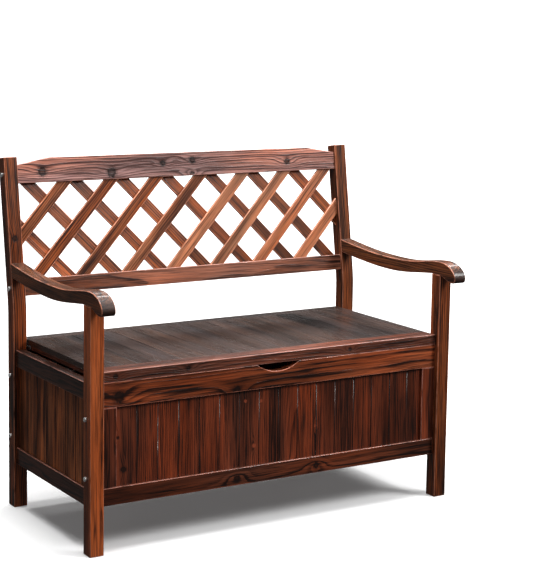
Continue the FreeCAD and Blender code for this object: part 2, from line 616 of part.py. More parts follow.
def make_strut():
    length = strut_line()[0]
    ahead = (0, 1, 0)
    hollow = TUBE_RADIUS - TUBE_WALL
    gland_start = TUBE_END - GLAND_LENGTH
    tube = rod(TUBE_RADIUS, TUBE_END - TUBE_START, (0, TUBE_START, 0), ahead)
    tube = tube.cut(rod(hollow, TUBE_END, (0, TUBE_START + 2 * TUBE_WALL, 0), ahead))
    gland = rod(hollow, GLAND_LENGTH, (0, gland_start, 0), ahead)
    gland = gland.cut(rod(ROD_RADIUS + ROD_CLEARANCE, GLAND_LENGTH, (0, gland_start, 0), ahead))
    neck_end = length - SOCKET_RADIUS - SOCKET_NECK
    piston_rod = rod(ROD_RADIUS, neck_end - ROD_START, (0, ROD_START, 0), ahead)
    piston = rod(hollow - PISTON_CLEARANCE, PISTON_LENGTH, (0, ROD_START, 0), ahead).cut(piston_rod)
    bore = rod(STUD_RADIUS + STUD_CLEARANCE, SOCKET_WIDTH, (-SOCKET_WIDTH / 2, 0, 0), (1, 0, 0))
    nodes["strut_tube"] = along_strut(tube)
    nodes["strut_gland"] = along_strut(gland)
    nodes["strut_tube_socket"] = along_strut(socket(0, TUBE_START).cut(bore))
    nodes["strut_rod"] = along_strut(piston_rod)
    nodes["strut_piston"] = along_strut(piston)
    nodes["strut_rod_socket"] = along_strut(socket(length, neck_end))


def make_strut_brackets():
    """A stud at each end of the strut: on a plate on the side rail, and on an ear under the lid's batten."""
    half = BRACKET_WIDTH / 2
    y, z = BOX_PIVOT_YZ
    face = -SIDE_INNER
    low, high = SIDE_TOP_RAIL[0] + BRACKET_MARGIN, SIDE_TOP_RAIL[1] - BRACKET_MARGIN
    plate = box((face, face + BRACKET_THICKNESS), (y - half, y + half), (low, high))
    stud_end = STRUT_X + SOCKET_WIDTH / 2
    plate = plate.fuse(rod(STUD_RADIUS, stud_end - face, (face, y, z), (1, 0, 0)))
    screws = []
    for height in (low + BRACKET_SCREW_MARGIN, high - BRACKET_SCREW_MARGIN):
        for side in (-BRACKET_HOLE, BRACKET_HOLE):
            screws.append(screw((face + BRACKET_THICKNESS, y + side, height), (-1, 0, 0), SHORT_SCREW))
    nodes["strut_bracket_frame"] = plate.cut(screws).removeSplitter()
    drill(["side_rail_top_left"], screws)
    nodes["strut_bracket_screws_frame"] = group(screws)

    y, z = LID_PIVOT_YZ
    width = (y - half, y + half)
    ear_front = LID_BRACKET_EAR - BRACKET_THICKNESS
    ear = box((ear_front, LID_BRACKET_EAR), width, (z - STUD_RADIUS - BRACKET_MARGIN, LID_BOTTOM))
    under_batten = LID_BOTTOM - BRACKET_THICKNESS
    flange_end = ear_front + LID_BRACKET_FLANGE
    flange = box((ear_front, flange_end), width, (under_batten, LID_BOTTOM))
    stud_tip = STRUT_X + SOCKET_WIDTH / 2 + STUD_GAP
    stud = rod(STUD_RADIUS, LID_BRACKET_EAR - stud_tip, (stud_tip, y, z), (1, 0, 0))
    screw_x = (LID_BRACKET_EAR + flange_end) / 2
    screws = [screw((screw_x, y + side, under_batten), (0, 0, 1), SHORT_SCREW)
              for side in (-BRACKET_HOLE, BRACKET_HOLE)]
    nodes["strut_bracket_lid"] = ear.fuse(flange).fuse(stud).cut(screws).removeSplitter()
    drill(["lid_batten_left"], screws)
    nodes["strut_bracket_screws_lid"] = group(screws)


# ---------------------------------------------------------------- bolts through the posts

def bolt_and_nut(y, z, nut_from_rear):
    """A socket-head bolt along +X through the left post, its barrel nut, and the holes for both."""
    start = (-POST_OUTER, y, z)
    head = rod(BOLT_HEAD_RADIUS, BOLT_HEAD_HEIGHT, start, (-1, 0, 0))
    rim = (-POST_OUTER - BOLT_HEAD_HEIGHT, y, z)
    head = head.cut(rod(BOLT_SOCKET_RADIUS, BOLT_SOCKET_DEPTH, rim, (1, 0, 0)))
    shank = rod(BOLT_RADIUS, BOLT_LENGTH, start, (1, 0, 0))
    nut_x = -POST_OUTER + NUT_PLACE
    nut = rod(NUT_RADIUS, NUT_LENGTH, (nut_x, y - NUT_LENGTH / 2, z), (0, 1, 0)).cut(shank)
    reach = (NUT_LENGTH + RAIL_THICKNESS) / 2
    hole_start = y - NUT_LENGTH / 2 if nut_from_rear else y - RAIL_THICKNESS / 2
    hole = rod(NUT_RADIUS, reach, (nut_x, hole_start, z), (0, 1, 0))
    return head.fuse(shank).removeSplitter(), nut, [shank, hole]


def make_bolts():
    front_y = sum(FRONT_PANEL) / 2
    rear_y = sum(REAR_PANEL) / 2
    upper_bolt = RAKE_START + (UPPER_RAIL[0] + UPPER_RAIL_END) / 2
    lower_bolt = RAKE_START + sum(LOWER_RAIL) / 2

    def upright(shape):
        return shape

    # Height, place along Y, the pieces bolted, whether the nut goes in from the rear, how it is tipped
    places = [
        (FRONT_BOLT_HEIGHT, front_y, "front_stile", "post_front", True, upright),
        (LOWER_BOLT_HEIGHT, front_y, "front_stile", "post_front", True, upright),
        (REAR_BOLT_HEIGHT, rear_y, "back_stile", "post_rear", False, upright),
        (LOWER_BOLT_HEIGHT, rear_y, "back_stile", "post_rear", False, upright),
        (upper_bolt, PIVOT_Y, "backrest_rail_top", "post_rear", True, raked),
        (lower_bolt, PIVOT_Y, "backrest_rail_bottom", "post_rear", True, raked),
    ]
    bolts, nuts = [], []
    for z, y, held, post, nut_from_rear, tip in places:
        bolt, nut, holes = bolt_and_nut(y, z, nut_from_rear)
        bolt, nut, holes = tip(bolt), tip(nut), [tip(hole) for hole in holes]
        for side, turn in (("left", upright), ("right", mirrored)):
            bolts.append(turn(bolt))
            nuts.append(turn(nut))
            held_name = held if held.startswith("backrest") else f"{held}_{side}"
            drill([held_name, f"{post}_{side}"], [turn(hole) for hole in holes])
    nodes["frame_bolts"] = group(bolts)
    nodes["barrel_nuts"] = group(nuts)


def main():
    make_posts_and_arms()
    make_side_panels()
    make_long_panel("front", FRONT_PANEL, FRONT_TOP_RAIL, -1)
    make_long_panel("back", REAR_PANEL, FRONT_TOP_RAIL, 1)
    cut_finger_notch()
    make_floor()
    make_backrest()
    make_lid()
    make_hinges()
    make_strut()
    make_strut_brackets()
    make_bolts()
    os.makedirs("parts", exist_ok=True)
    for name, shape in sorted(nodes.items()):
        shape.translated(Vector(0, -ORIGIN_Y, 0)).exportStep(f"parts/{name}.step")


main()
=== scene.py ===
import math
import random

import bmesh
import bpy
from mathutils import Matrix, Vector


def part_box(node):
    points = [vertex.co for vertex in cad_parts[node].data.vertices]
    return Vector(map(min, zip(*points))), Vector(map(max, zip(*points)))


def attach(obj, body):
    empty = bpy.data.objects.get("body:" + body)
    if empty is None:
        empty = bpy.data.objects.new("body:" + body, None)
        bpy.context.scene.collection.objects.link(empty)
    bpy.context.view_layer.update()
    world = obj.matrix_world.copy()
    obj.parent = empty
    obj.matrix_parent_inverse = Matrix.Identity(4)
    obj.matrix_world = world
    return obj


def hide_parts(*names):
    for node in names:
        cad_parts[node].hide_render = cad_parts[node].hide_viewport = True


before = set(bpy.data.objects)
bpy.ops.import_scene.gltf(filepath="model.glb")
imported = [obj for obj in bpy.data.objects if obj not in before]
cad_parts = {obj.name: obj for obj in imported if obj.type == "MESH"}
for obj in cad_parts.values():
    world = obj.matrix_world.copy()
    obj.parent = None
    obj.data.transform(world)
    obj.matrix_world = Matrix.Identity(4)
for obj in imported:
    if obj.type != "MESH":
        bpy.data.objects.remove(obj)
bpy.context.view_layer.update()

# Looks of the storage bench: varnished, flamed fir with eased arrises, zinc fittings and a gas
# strut. Every length is in metres, unless a comment says otherwise.

X, Y, Z = range(3)

# Shape of the frame that the grain follows
RAKE_START = 0.531
RAKE_ANGLE = math.radians(8.7)
RAKE_BEND_RADIUS = 0.3
POST_DEPTH = 0.037
RAIL_DEPTH = 0.025
SLAT_RUN = 0.239            # along X, between the backrest's rails
SLAT_LET_IN = 0.008         # into each of the two rails

# Eased edges of the wood
ARRIS = 0.0017              # long outer corners
ARM_ARRIS = 0.0032
SLAT_ARRIS = 0.0013
SMALL_EDGE = 0.0004         # V joints, grooves and tenons
LID_JOINT_EDGE = 0.0014     # V joints of the lid
JOINT_EDGE = 0.0008         # V joints of the side and front boards
JOINT_HIGHLIGHT_AND_WEAR = 0.9            # how far those joints' edges are lightened: partly wear, partly painted highlight
ARRIS_SEGMENTS = 3
SHARP = math.radians(25)
SHORTEST_EDGE = 0.004       # anything shorter outlines a drilled hole
SHORTEST_ARM_EDGE = 0.0005  # the arms' noses are drawn with shorter edges
ON_PLANE = 0.0003
WELD_DISTANCE = 0.000002
ONE_PLANE = math.radians(0.4)
PROBE = 0.001               # step along a normal

# Softened rims of the fittings
BOLT_RIM = 0.0008
STRUT_RIM = 0.0005
ROD_RIM = 0.0003
HINGE_RIM = 0.0002
RIM_ANGLE = math.radians(40)

# Grain of a board
JOINT_SLANT = 0.3           # least share of a V joint's normal across, and through, its board
END_START = 0.45            # share of a normal along the grain from which end grain shows
END_FADE = 0.3              # and over which it grows to its full strength
STRAIGHT_GRAIN = ((1.3, 2.4), (0.015, 0.035))
START_RANGE = 40            # boards start anywhere along this length of one grain

# Camera, at the photograph's place
CAMERA_PLACE = (-2.1753, -3.6915, 1.3180)
CAMERA_YAW, CAMERA_PITCH, CAMERA_ROLL = (math.radians(angle) for angle in (31.654, 7.552, 0.867))
CAMERA_LENS = 105.57
CAMERA_SHIFT_Y = -0.102
CAMERA_SENSOR = 36.0        # millimetres, like the lens

# Studio
WORLD_LIGHT = 0.055
FLOOR_GLOW = 0.09
BENCH_MIDDLE = (0, 0, 0.45)

SEED = 41
draw = random.Random(SEED)
rear_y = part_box("post_rear_left")[0].y + POST_DEPTH / 2


# ---------------------------------------------------------------- shader graphs

class Graph:
    """Adds shader nodes to one material."""

    def __init__(self, name):
        self.material = bpy.data.materials.new(name)
        self.material.use_nodes = True
        self.tree = self.material.node_tree
        self.shader = self.tree.nodes["Principled BSDF"]

    def put(self, socket, value):
        if isinstance(value, bpy.types.NodeSocket):
            self.tree.links.new(value, socket)
        else:
            socket.default_value = value

    def math(self, operation, *values, clamp=False):
        node = self.tree.nodes.new("ShaderNodeMath")
        node.operation = operation
        node.use_clamp = clamp
        for socket, value in zip(node.inputs, values):
            self.put(socket, value)
        return node.outputs[0]

    def vector(self, operation, a, b=None):
        node = self.tree.nodes.new("ShaderNodeVectorMath")
        node.operation = operation
        self.put(node.inputs[0], a)
        if b is not None:
            self.put(node.inputs[1], b)
        return node.outputs["Value" if operation in ("LENGTH", "DISTANCE") else "Vector"]

    def attribute(self, name, output="Vector"):
        node = self.tree.nodes.new("ShaderNodeAttribute")
        node.attribute_name = name
        return node.outputs[output]

    def object_place(self):
        return self.tree.nodes.new("ShaderNodeTexCoord").outputs["Object"]

    def split(self, vector):
        node = self.tree.nodes.new("ShaderNodeSeparateXYZ")
        self.put(node.inputs[0], vector)
        return node.outputs

    def noise(self, place, stretch, detail=2.0, roughness=0.5):
        node = self.tree.nodes.new("ShaderNodeTexNoise")
        node.inputs["Scale"].default_value = 1.0
        node.inputs["Detail"].default_value = detail
        node.inputs["Roughness"].default_value = roughness
        self.put(node.inputs["Vector"], self.vector("MULTIPLY", place, stretch))
        return node.outputs[0]

    def ramp(self, value, *stops):
        """stops are (position, grey or colour)."""
        node = self.tree.nodes.new("ShaderNodeValToRGB")
        points = node.color_ramp.elements
        while len(points) < len(stops):
            points.new(0.5)
        for point, (position, colour) in zip(points, stops):
            point.position = position
            point.color = (*colour, 1) if isinstance(colour, tuple) else (colour,) * 3 + (1,)
        self.put(node.inputs[0], value)
        return node.outputs[0]

    def mix(self, share, a, b, blend="MIX"):
        node = self.tree.nodes.new("ShaderNodeMix")
        node.data_type = "RGBA"
        node.blend_type = blend
        for socket, value in ((node.inputs[0], share), (node.inputs[6], a), (node.inputs[7], b)):
            self.put(socket, (*value, 1) if isinstance(value, tuple) else value)
        return node.outputs[2]

    def bump(self, height, distance, strength):
        node = self.tree.nodes.new("ShaderNodeBump")
        node.inputs["Distance"].default_value = distance
        node.inputs["Strength"].default_value = strength
        self.put(node.inputs["Height"], height)
        self.put(self.shader.inputs["Normal"], node.outputs[0])

    def set(self, **values):
        for name, value in values.items():
            self.put(self.shader.inputs[name.replace("_", " ")], value)


# Stretch of each noise: repeats in a metre along, across and through the grain
RING_WANDER = (2.6, 16, 16)
RING_RIPPLE = (9, 120, 120)
PATCHES = (3.0, 24, 24)
BANDS = (2.2, 85, 85)
FIBRES = (9, 300, 300)
HAIRS = (14, 800, 800)
WARM_PLACES = (2.4, 13, 13)
LIGHT_PLACES = (2.2, 14, 14)
HIGHLIGHT_AND_WEAR_PLACES = (26, 60, 60)
KNOT_OUTLINE = (230, 230, 230)          # in the object's own axes

# Profiles, as (position, value): a ring from early to late wood, a knot from its middle to two
# radii out, and the noises behind the burnt patches and the bands
RING_PROFILE = ((0.0, 0.04), (0.42, 0.10), (0.74, 0.85), (0.93, 1.0), (1.0, 0.1))
KNOT_PROFILE = ((0.1, 0.80), (0.3, 0.92), (0.42, 1.0), (0.52, 0.5), (0.8, 0.0))
BURNT_PROFILE = ((0.44, 0.0), (0.62, 1.0))
BAND_PROFILE = ((0.40, 0.0), (0.60, 1.0))
# Where that noise starts and stops lightening the eased edges, as wear and painted highlight
HIGHLIGHT_AND_WEAR_FROM, HIGHLIGHT_AND_WEAR_TO = 0.30, 0.52

# Rings and knots
RIPPLE = 0.0032
KNOT_STRETCH = 0.42         # scale of distances along the grain
KNOT_RAGGED = 1.2           # unevenness of a knot's outline, in radii
KNOT_FADE = -0.32           # of the bent rings, with the square of the distance in radii
KNOT_BEND = 1.9             # rings pushed aside by a knot
LATE_SPREAD, LATE_LEAST = 0.8, 0.3      # strength of a ring's late wood

# What makes a place dark: these shares of each pattern, less DARK_START
LATE_DARK = 1.05
BAND_DARK = 0.42
BURN_DARK = 1.05            # times the wood's flame
HAIR_DARK = 1.2
FIBRE_DARK = 2.4
DARK_START = 1.8

# Stain, and the lighter colour of wear and painted highlights on the eased edges
WARM_TINT = (1.35, 0.98, 0.60)
COOL_TINT = (0.74, 0.98, 1.18)
WARMTH_SPREAD = 1.8
LIGHT_SPREAD, LIGHT_BASE = 2.8, -0.40
END_STRENGTH, END_COLOUR = 0.85, 0.6    # how far end grain turns to this share of late wood
# Lighter colour of the eased edges, partly pale wear and partly painted highlight
HIGHLIGHT_AND_WEAR_GAIN, HIGHLIGHT_AND_WEAR_LIFT = 1.7, 0.12    # from the early wood's colour

# Varnish and relief
FIBRE_ROUGH, FIBRE_SMOOTH = 0.3, 0.15
PATCH_ROUGH = 0.2
END_ROUGH = 0.15
COAT_ROUGHNESS = 0.11
VARNISH_IOR = 1.40
WOOD_RELIEF, WOOD_RELIEF_STRENGTH = 0.0006, 0.7
LATE_HEIGHT, HAIR_HEIGHT, KNOT_HEIGHT = 0.8, 0.8, -0.8


def scaled(colour, factors):
    return tuple(min(1.0, part * factor) for part, factor in zip(colour, factors))


def knot_hearts(g, phase, knots, knot_grain):
    """The rings' phase, bent round the knots, and each knot's mask with its colour."""
    hearts = []
    place = g.object_place()
    stretch = tuple(KNOT_STRETCH if part else 1.0 for part in knot_grain)
    outline = g.noise(place, KNOT_OUTLINE, 3.0, 0.6)
    ragged = g.math("MULTIPLY_ADD", outline, KNOT_RAGGED, -KNOT_RAGGED / 2)
    for centre, size, paint in knots:
        from_centre = g.vector("SUBTRACT", place, tuple(centre))
        drawn_out = g.vector("MULTIPLY", from_centre, stretch)
        far = g.math("DIVIDE", g.vector("LENGTH", drawn_out), size)
        fade = g.math("MULTIPLY", g.math("MULTIPLY", far, far), KNOT_FADE)
        phase = g.math("MULTIPLY_ADD", g.math("POWER", math.e, fade), KNOT_BEND, phase)
        near = g.math("ADD", g.math("DIVIDE", g.vector("LENGTH", from_centre), size), ragged)
        hearts.append((g.ramp(g.math("MULTIPLY", near, 0.5), *KNOT_PROFILE), paint))
    return phase, hearts


def wood(name, early, late, spacing=0.0055, gloss=0.32, coat=0.3, flame=0.5, wander=0.034,
         edge_highlight_and_wear=0.6, knots=(), knot_grain=(1, 0, 0)):
    """Flamed fir: rings about a pith beside the board, burnt late wood, fibres, stain, and pale
    wear with painted highlights on the eased edges.

    early and late are the rings' two colours, spacing and wander their width and unevenness,
    flame the strength of burnt patches, and shine that of the lightened arrises, partly wear and
    partly painted highlight. knots are (place, radius, colour), and knot_grain is the direction in
    which they are drawn out."""
    g = Graph(name)
    grain = g.attribute("grain")
    tone, warmth, streaks = g.split(g.attribute("tone"))
    along, across, through = g.split(grain)

    squares = g.math("MULTIPLY", through, through)
    squares = g.math("ADD", g.math("MULTIPLY", across, across), squares)
    radius = g.math("SQRT", squares)
    radius = g.math("MULTIPLY_ADD", g.noise(grain, RING_WANDER), wander, radius)
    radius = g.math("MULTIPLY_ADD", g.noise(grain, RING_RIPPLE, 3.0), RIPPLE, radius)
    phase, hearts = knot_hearts(g, g.math("DIVIDE", radius, spacing), knots, knot_grain)

    ring_noise = g.tree.nodes.new("ShaderNodeTexWhiteNoise")
    ring_noise.noise_dimensions = "1D"
    g.put(ring_noise.inputs["W"], g.math("FLOOR", phase))
    ring_strength = g.math("MULTIPLY_ADD", ring_noise.outputs[0], LATE_SPREAD, LATE_LEAST)
    late_wood = g.math("MULTIPLY", g.ramp(g.math("FRACT", phase), *RING_PROFILE), ring_strength)
    patches = g.noise(grain, PATCHES, 3.0, 0.6)
    burn = g.ramp(patches, *BURNT_PROFILE)
    bands = g.ramp(g.noise(grain, BANDS), *BAND_PROFILE)
    fibres = g.noise(grain, FIBRES, 3.0, 0.6)
    hairs = g.noise(grain, HAIRS, 3.0, 0.65)

    dark = g.math("MULTIPLY", late_wood, LATE_DARK)
    dark = g.math("MULTIPLY_ADD", bands, BAND_DARK, dark)
    dark = g.math("MULTIPLY_ADD", burn, flame * BURN_DARK, dark)
    dark = g.math("MULTIPLY", dark, streaks)
    dark = g.math("MULTIPLY_ADD", hairs, HAIR_DARK, g.math("SUBTRACT", dark, DARK_START))
    dark = g.math("MULTIPLY_ADD", fibres, FIBRE_DARK, dark, clamp=True)
    glow = g.noise(grain, WARM_PLACES)
    glow = g.math("MULTIPLY_ADD", glow, WARMTH_SPREAD, -WARMTH_SPREAD / 2)
    warmth = g.math("ADD", warmth, glow, clamp=True)
    stain = g.mix(warmth, scaled(early, COOL_TINT), scaled(early, WARM_TINT))
    colour = g.mix(dark, stain, late)
    light = g.math("MULTIPLY_ADD", g.noise(grain, LIGHT_PLACES), LIGHT_SPREAD, LIGHT_BASE)
    light = g.math("MULTIPLY", light, tone)
    shade = g.tree.nodes.new("ShaderNodeCombineXYZ")
    for socket in shade.inputs:
        g.put(socket, light)
    colour = g.mix(1.0, colour, shade.outputs[0], "MULTIPLY")
    for core, paint in hearts:
        colour = g.mix(core, colour, paint)
    end = g.attribute("end", "Fac")
    end_colour = tuple(part * END_COLOUR for part in late)
    colour = g.mix(g.math("MULTIPLY", end, END_STRENGTH), colour, end_colour)
    # The eased edges are lightened in noisy spots: partly pale wear, partly painted highlight that
    # stands in for the glints of light along them
    highlight_and_wear_spots = g.ramp(g.noise(grain, HIGHLIGHT_AND_WEAR_PLACES, 3.0), (HIGHLIGHT_AND_WEAR_FROM, 0.0), (HIGHLIGHT_AND_WEAR_TO, edge_highlight_and_wear))
    highlight_and_wear = g.math("MULTIPLY", g.attribute("arris", "Fac"), highlight_and_wear_spots)
    highlight_and_wear_colour = tuple(min(1.0, part * HIGHLIGHT_AND_WEAR_GAIN + HIGHLIGHT_AND_WEAR_LIFT) for part in early)
    colour = g.mix(highlight_and_wear, colour, highlight_and_wear_colour)

    rough = g.math("MULTIPLY_ADD", fibres, FIBRE_ROUGH, gloss - FIBRE_SMOOTH)
    rough = g.math("ADD", rough, g.math("MULTIPLY_ADD", patches, PATCH_ROUGH, -PATCH_ROUGH / 2))
    rough = g.math("MULTIPLY_ADD", end, END_ROUGH, rough, clamp=True)
    height = g.math("MULTIPLY_ADD", late_wood, LATE_HEIGHT, g.math("MULTIPLY", hairs, HAIR_HEIGHT))
    height = g.math("ADD", height, fibres)
    for core, _ in hearts:
        height = g.math("MULTIPLY_ADD", core, KNOT_HEIGHT, height)
    g.bump(height, WOOD_RELIEF, WOOD_RELIEF_STRENGTH)
    g.set(
        Base_Color=colour, Roughness=rough, Coat_Weight=coat, Coat_Roughness=COAT_ROUGHNESS,
        IOR=VARNISH_IOR,
    )
    return g.material


# Marks on metal and plastic
EVEN_MARKS = (400, 400, 400)
BRUSHED_MARKS = (40, 900, 900)
SMUDGES = (60, 60, 60)
SMUDGE_PROFILE = ((0.35, 0.82), (0.7, 1.05))
MARK_ROUGH, MARK_SMOOTH = 0.25, 0.12
MARK_RELIEF, MARK_RELIEF_STRENGTH = 0.00006, 0.4


def metal(name, colour, roughness, brush=EVEN_MARKS, metallic=1.0):
    """Metal or moulded plastic with fine marks, smudges and a little wear."""
    g = Graph(name)
    place = g.object_place()
    marks = g.noise(place, brush, 3.0, 0.6)
    dull = g.ramp(g.noise(place, SMUDGES), *SMUDGE_PROFILE)
    g.set(
        Base_Color=g.mix(1.0, colour, dull, "MULTIPLY"),
        Roughness=g.math("MULTIPLY_ADD", marks, MARK_ROUGH, roughness - MARK_SMOOTH),
        Metallic=metallic,
    )
    g.bump(marks, MARK_RELIEF, MARK_RELIEF_STRENGTH)
    return g.material


# ---------------------------------------------------------------- wooden pieces

def in_scene(name, data):
    """A new object, in the scene's own collection."""
    made = bpy.data.objects.new(name, data)
    bpy.context.scene.collection.objects.link(made)
    return made


def straighten_post(co):
    """A point of a rear post as if the post were straight, along Z."""
    bend_start = RAKE_START - RAKE_BEND_RADIUS * math.tan(RAKE_ANGLE / 2)
    centre = Vector((0, rear_y + RAKE_BEND_RADIUS, bend_start))
    spoke = co - centre
    if co.z <= bend_start:
        return Vector((co.x, co.y - rear_y, co.z))
    angle = math.atan2(spoke.z, -spoke.y)
    if angle <= RAKE_ANGLE:
        reach = math.hypot(spoke.y, spoke.z)
        return Vector((co.x, RAKE_BEND_RADIUS - reach, bend_start + RAKE_BEND_RADIUS * angle))
    turned = unrake(co)
    excess = RAKE_BEND_RADIUS * (2 * math.tan(RAKE_ANGLE / 2) - RAKE_ANGLE)
    return Vector((co.x, turned.y - rear_y, turned.z - excess))


def unrake(co):
    """A point of the backrest as if it stood upright over the bend."""
    pivot = Vector((0, rear_y, RAKE_START))
    return pivot + Matrix.Rotation(RAKE_ANGLE, 3, "X") @ (co - pivot)


def islands(bm):
    """The separate solids, each a list of vertices, from low X, then low Y, upwards."""
    left = set(bm.verts)
    found = []
    while left:
        group = {left.pop()}
        waiting = list(group)
        while waiting:
            vert = waiting.pop()
            for edge in vert.link_edges:
                other = edge.other_vert(vert)
                if other in left:
                    left.discard(other)
                    group.add(other)
                    waiting.append(other)
        found.append(sorted(group, key=lambda v: v.index))

    def place(verts):
        middle = sum((v.co for v in verts), Vector()) / len(verts)
        return tuple(round(part, 4) for part in middle)

    return sorted(found, key=place)


def limits(points):
    """The low and high corners of the points' box."""
    low = Vector([min(point[i] for point in points) for i in range(3)])
    high = Vector([max(point[i] for point in points) for i in range(3)])
    return low, high


def sharp_edges(bm, local, faces_only, shortest):
    """Outer arrises, and the other convex edges.

    An arris lies on two sides of its solid's box, or, where faces_only is an axis, on one of the
    two sides across that axis."""
    arrises, small = [], []
    for verts in islands(bm):
        places = {vert: local(vert.co) for vert in verts}
        low, high = limits(list(places.values()))
        for edge in {edge for vert in verts for edge in vert.link_edges}:
            if not edge.is_manifold or not edge.is_convex or edge.calc_face_angle(0) < SHARP:
                continue
            if edge.calc_length() < shortest:
                continue
            middle = (places[edge.verts[0]] + places[edge.verts[1]]) / 2
            on = [min(middle[i] - low[i], high[i] - middle[i]) < ON_PLANE for i in range(3)]
            outer = on[faces_only] if faces_only is not None else sum(on) >= 2
            (arrises if outer else small).append(edge)
    return arrises, small


def ease(bm, edges, width, segments):
    """Rounds the edges, and gives the new faces."""
    made = bmesh.ops.bevel(
        bm, geom=edges, offset=width, offset_type="OFFSET", segments=segments,
        profile=0.5, affect="EDGES", clamp_overlap=True,
    )
    return made["faces"]


def wooden(node, material, body="frame", local=lambda co: co.copy(), grain=Z,
           faces_only=None, arris=ARRIS, shortest=SHORTEST_EDGE, tones=((1.0, 0.5, 0.6),),
           spread=0.12, slope=0.012, pith=((-0.9, 0.9), (0.03, 0.075)), small_edge=SMALL_EDGE,
           small_edge_highlight_and_wear=0.0):
    """A node's solids as boards with eased edges, each with a grain and a tone of its own.

    local puts a point where the board would be upright, grain is the axis along it there, and
    each tone is (lightness, warmth, strength of the dark streaks), with its lightness varied by
    spread. pith is where the rings' centre may lie: across the board, in board widths, and in
    front of or behind it. slope is how far the grain may run out. Arrises are eased by arris, and
    the other edges by small_edge. The eased faces are marked to be lightened, partly as wear and
    partly as painted highlight: the arrises fully, and the other edges by
    small_edge_highlight_and_wear."""
    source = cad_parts[node].data
    bm = bmesh.new()
    bm.from_mesh(source)
    bmesh.ops.remove_doubles(bm, verts=bm.verts, dist=WELD_DISTANCE)
    bmesh.ops.dissolve_limit(bm, angle_limit=ONE_PLANE, verts=bm.verts, edges=bm.edges)
    highlight_and_wear = bm.faces.layers.float.new("arris")
    cut = bm.faces.layers.float.new("end")
    arrises, small = sharp_edges(bm, local, faces_only, shortest)
    # The eased faces are marked for lightening in the wood's colour: partly wear, partly painted
    # highlight
    for face in ease(bm, arrises, arris, ARRIS_SEGMENTS):
        face[highlight_and_wear] = 1.0
    small = [edge for edge in small if edge.is_valid]
    if small:
        for face in ease(bm, small, small_edge, 1):
            face[highlight_and_wear] = small_edge_highlight_and_wear
    place = bm.verts.layers.float_vector.new("grain")
    look = bm.verts.layers.float_vector.new("tone")
    others = [axis for axis in range(3) if axis != grain]
    for number, verts in enumerate(islands(bm)):
        points = [local(vert.co) for vert in verts]
        low, high = limits(points)
        middle = (low + high) / 2
        wide, thick = sorted(others, key=lambda axis: low[axis] - high[axis])
        pith_across = draw.uniform(*pith[0]) * (high[wide] - low[wide])
        pith_through = draw.choice((-1, 1)) * draw.uniform(*pith[1])
        lean = draw.uniform(-slope, slope)
        start = draw.uniform(0, START_RANGE)
        lightness, warmth, streaks = tones[number % len(tones)]
        tone = Vector((lightness * (1 + draw.uniform(-spread, spread)), warmth, streaks))
        for vert, point in zip(verts, points):
            run = point[grain] - middle[grain]
            vert[place] = Vector((
                run + start,
                point[wide] - middle[wide] - pith_across + lean * run,
                point[thick] - middle[thick] - pith_through,
            ))
            vert[look] = tone
        for face in {face for vert in verts for face in vert.link_faces}:
            if face[highlight_and_wear]:
                continue
            centre = face.calc_center_median()
            normal = (local(centre + face.normal * PROBE) - local(centre)).normalized()
            in_joint = min(abs(normal[wide]), abs(normal[thick])) > JOINT_SLANT
            end_grain = min(1.0, max(0.0, (abs(normal[grain]) - END_START) / END_FADE))
            face[cut] = 1.0 if in_joint else end_grain
    for face in bm.faces:
        face.smooth = True
    mesh = bpy.data.meshes.new(node + "_wood")
    bm.to_mesh(mesh)
    bm.free()
    mesh.materials.append(material)
    piece = in_scene(node + "_wood", mesh)
    smooth = piece.modifiers.new("Flat faces", "WEIGHTED_NORMAL")
    smooth.keep_sharp = True
    smooth.weight = 100
    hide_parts(node)
    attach(piece, body)
    return piece


def fitting(names, material, edge):
    """A metal or plastic CAD node, with softened rims."""
    for name in names:
        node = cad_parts[name]
        node.data.materials.clear()
        node.data.materials.append(material)
        weld = node.modifiers.new("Weld", "WELD")
        weld.merge_threshold = WELD_DISTANCE
        rim = node.modifiers.new("Rim", "BEVEL")
        rim.width = edge
        rim.segments = 2
        rim.limit_method = "ANGLE"
        rim.angle_limit = RIM_ANGLE
        smooth = node.modifiers.new("Flat faces", "WEIGHTED_NORMAL")
        smooth.keep_sharp = True


# ---------------------------------------------------------------- materials

KNOT_DARK = (0.010, 0.004, 0.003)
KNOT_RED = (0.34, 0.07, 0.03)


def knot_at(node, share, height, radius, paint=KNOT_DARK, half_depth=RAIL_DEPTH / 2):
    """A knot on the front of a board: its share of the way along X, and of the way up."""
    low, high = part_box(node)
    x = low.x + share * (high.x - low.x)
    z = low.z + height * (high.z - low.z)
    front = low.y
    if node.startswith(("backrest", "post_rear")):
        front = rear_y - half_depth / math.cos(RAKE_ANGLE) + (z - RAKE_START) * math.tan(RAKE_ANGLE)
    return (x, front, z), radius, paint


def knots_on(node, *knots):
    return [knot_at(node, *knot) for knot in knots]


BURNT = (0.021, 0.0065, 0.004)
ORANGE_BROWN = (0.37, 0.100, 0.034)
RED_BROWN = (0.30, 0.080, 0.038)
TAN = (0.54, 0.178, 0.078)
GREY_BROWN = (0.062, 0.038, 0.032)
PINK_BROWN = (0.55, 0.225, 0.168)

post_wood = wood(
    "post_wood", ORANGE_BROWN, BURNT, wander=0.024, knot_grain=(0, 0, 1),
    knots=[knot_at("post_rear_left", 0.45, 0.772, 0.008, half_depth=POST_DEPTH / 2)],
)
